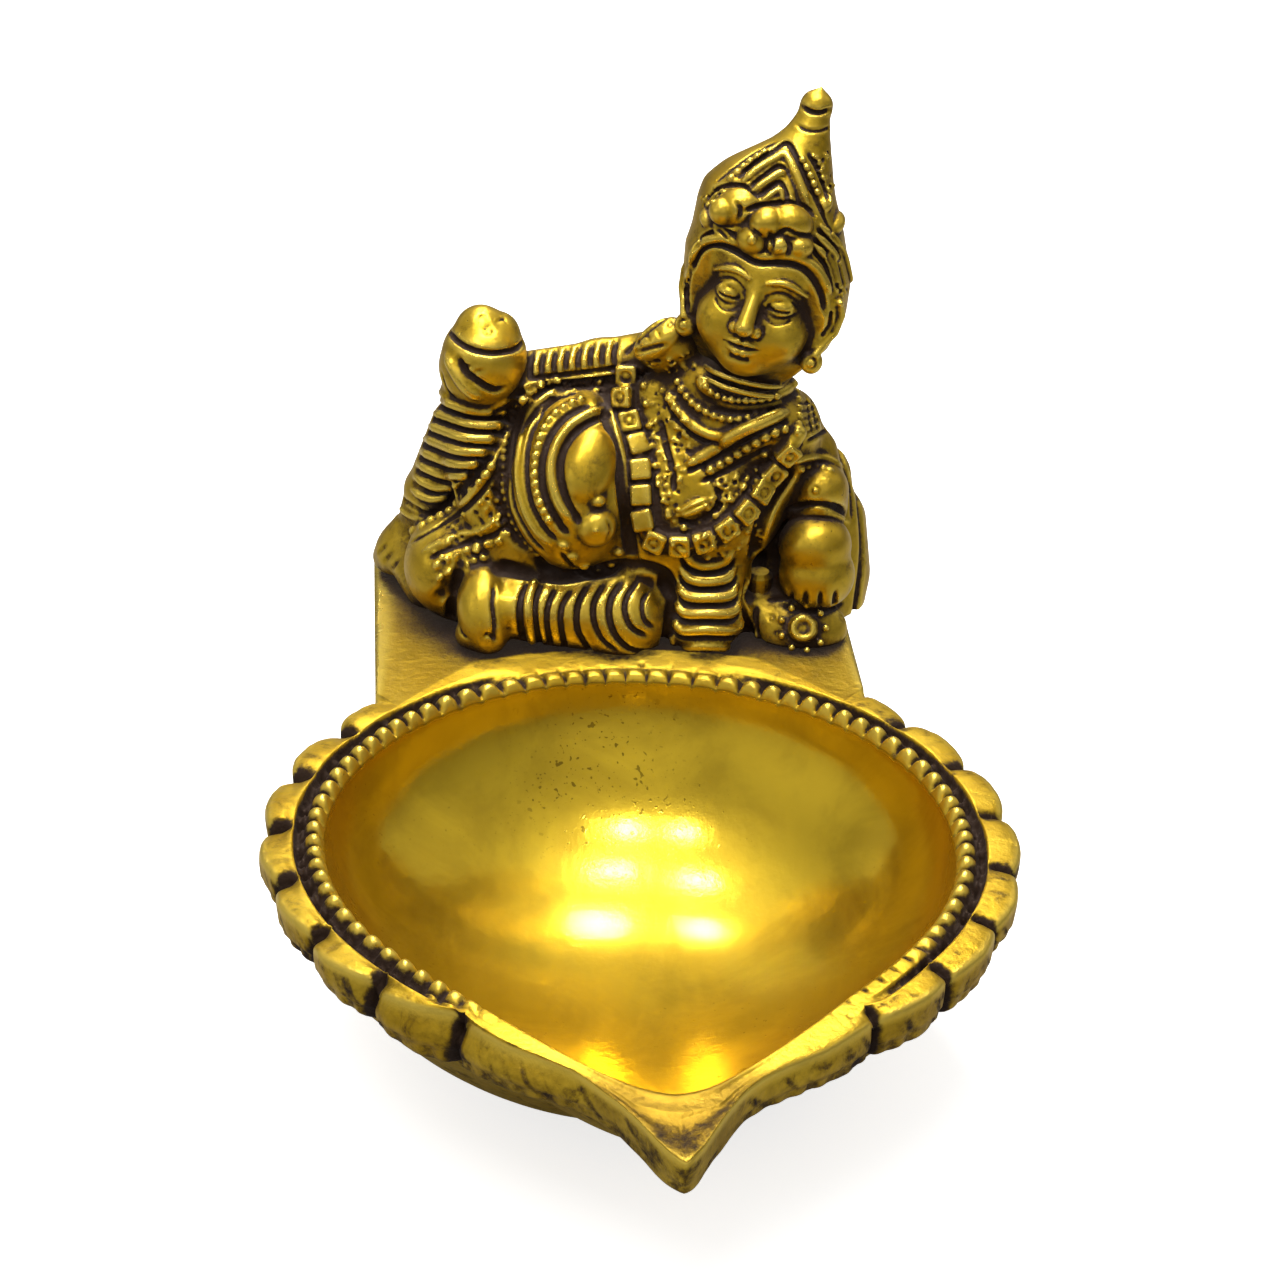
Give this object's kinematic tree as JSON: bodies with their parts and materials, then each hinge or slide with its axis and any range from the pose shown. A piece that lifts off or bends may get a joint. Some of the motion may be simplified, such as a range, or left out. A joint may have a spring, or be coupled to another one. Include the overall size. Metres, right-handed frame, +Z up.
{
  "type": "diya oil lamp",
  "caption": "Cast-brass oil lamp: open heart-shaped bowl with scalloped petal rim and pouring spout, with a reclining devotional figure on a ledge behind the bowl.",
  "frame": {"origin": "middle of the lamp's footprint (its plan bounding box) on the table plane, under the bowl's rear half", "axes": "+Z up, -Y towards the spout, +Y towards the figure and the ledge's back edge, +X to the right when the lamp is seen from the spout"},
  "size_m": [0.0784, 0.1164, 0.0905],
  "materials": {
    "polished_brass": "polished on the cup and petals, dark patina in the groove",
    "aged_brass": "satin high points over near-black patina in the recesses",
    "plain_brass": "as cast and filed, unpolished",
    "screw_brass": "turned"
  },
  "bodies": {
    "root": {"oil_bowl": "polished_brass", "bowl_foot": "plain_brass", "foot_screw": "screw_brass", "figure": "aged_brass", "figure_screw_left": "screw_brass", "figure_screw_right": "screw_brass", "rear_support": "plain_brass", "support_screw_left": "screw_brass", "support_screw_right": "screw_brass"}
  },
  "joints": []
}
